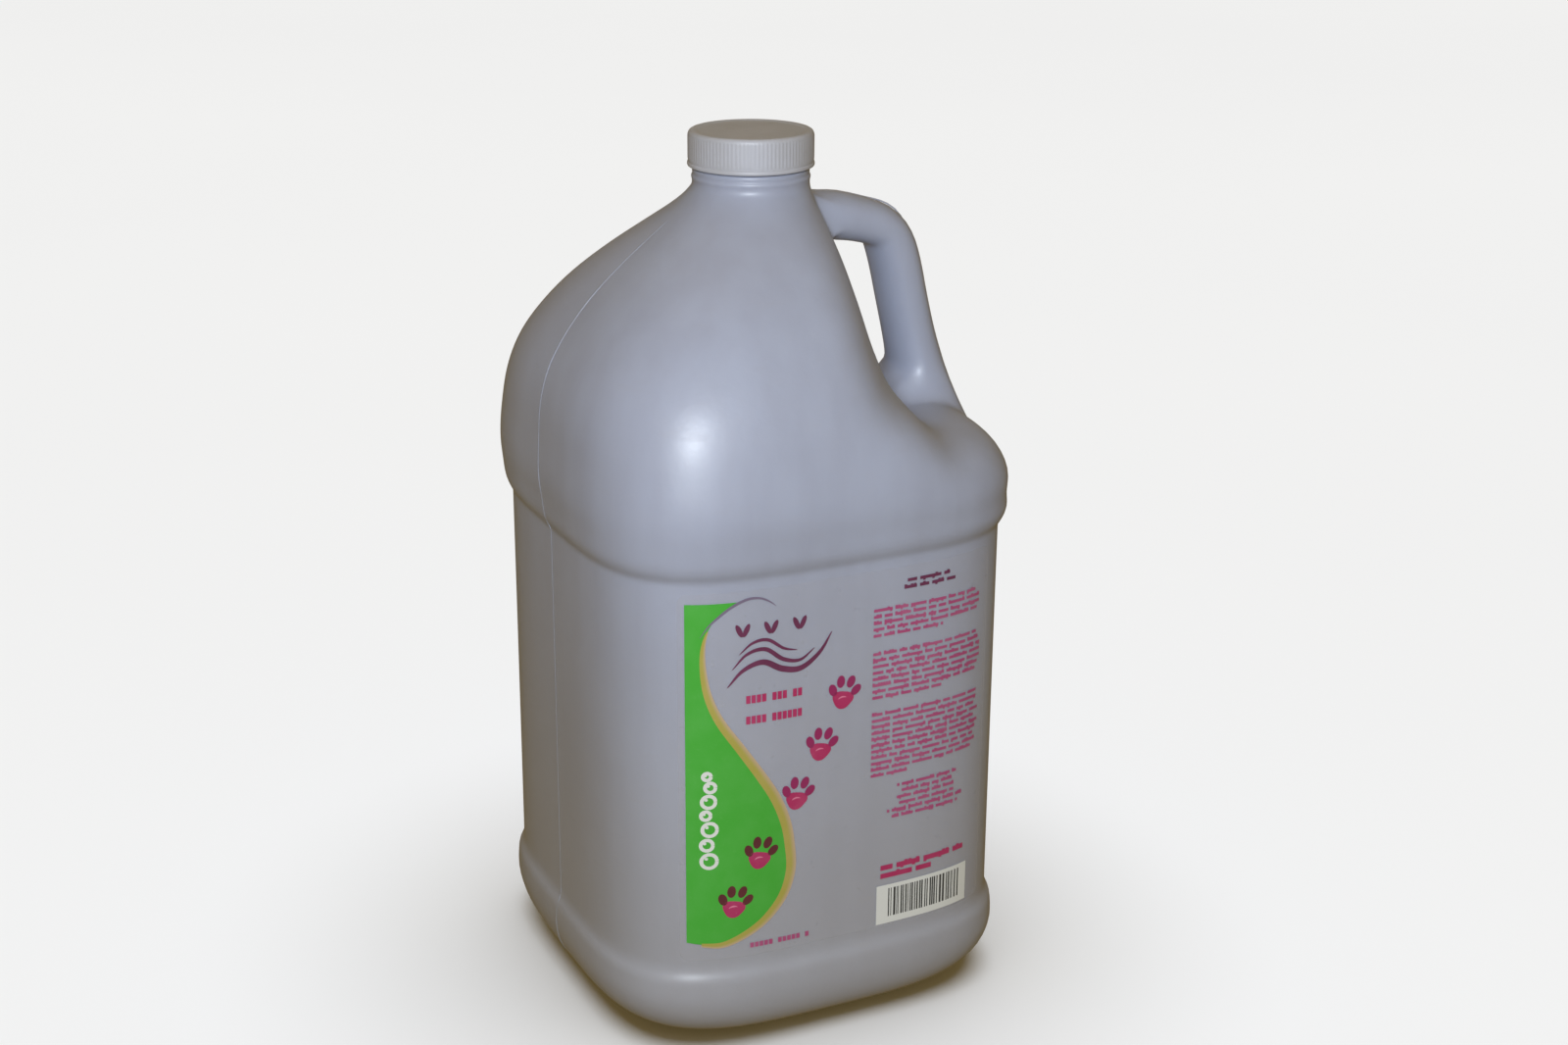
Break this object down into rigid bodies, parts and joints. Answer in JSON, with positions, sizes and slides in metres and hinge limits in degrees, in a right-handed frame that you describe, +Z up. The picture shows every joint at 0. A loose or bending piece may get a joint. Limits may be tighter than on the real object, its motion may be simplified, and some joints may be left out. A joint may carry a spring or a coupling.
{
  "type": "shampoo bottle",
  "caption": "Square blow-moulded gallon jug for pet shampoo, with an integral hollow side handle, threaded neck, ribbed screw cap and a clear printed front label.",
  "frame": {"origin": "centre of the base, on the plane that the bottle stands on", "axes": "+Z up along the neck, +X towards the handle, -Y towards the front label; the mould's parting line is the plane Y = 0"},
  "size_m": [0.1507, 0.1504, 0.2878],
  "materials": {
    "milky_hdpe": "milky grey polyethylene with a soft satin gloss",
    "white_cap": "off-white polypropylene, satin",
    "liner_foam": "white foam sheet, matt",
    "label_film": "clear gloss film with printed artwork"
  },
  "bodies": {
    "bottle": {"bottle_body": "milky_hdpe", "handle": "milky_hdpe", "neck_finish": "milky_hdpe", "front_label": "label_film"},
    "liner": {"cap_liner": "liner_foam"},
    "cap": {"screw_cap": "white_cap"}
  },
  "joints": [
    {"name": "cap_lift", "type": "slide", "parent": "bottle", "child": "liner", "axis": [0, 0, 1], "range_m": [0, 0.01694]},
    {"name": "cap_turn", "type": "hinge", "parent": "liner", "child": "cap", "pos_m": [0, 0, 0.282], "axis": [0, 0, 1], "range_deg": [0, 1440]}
  ],
  "couplings": [
    {"joint": "cap_lift", "follows": "cap_turn", "m_per_rad": 0.0006737}
  ]
}
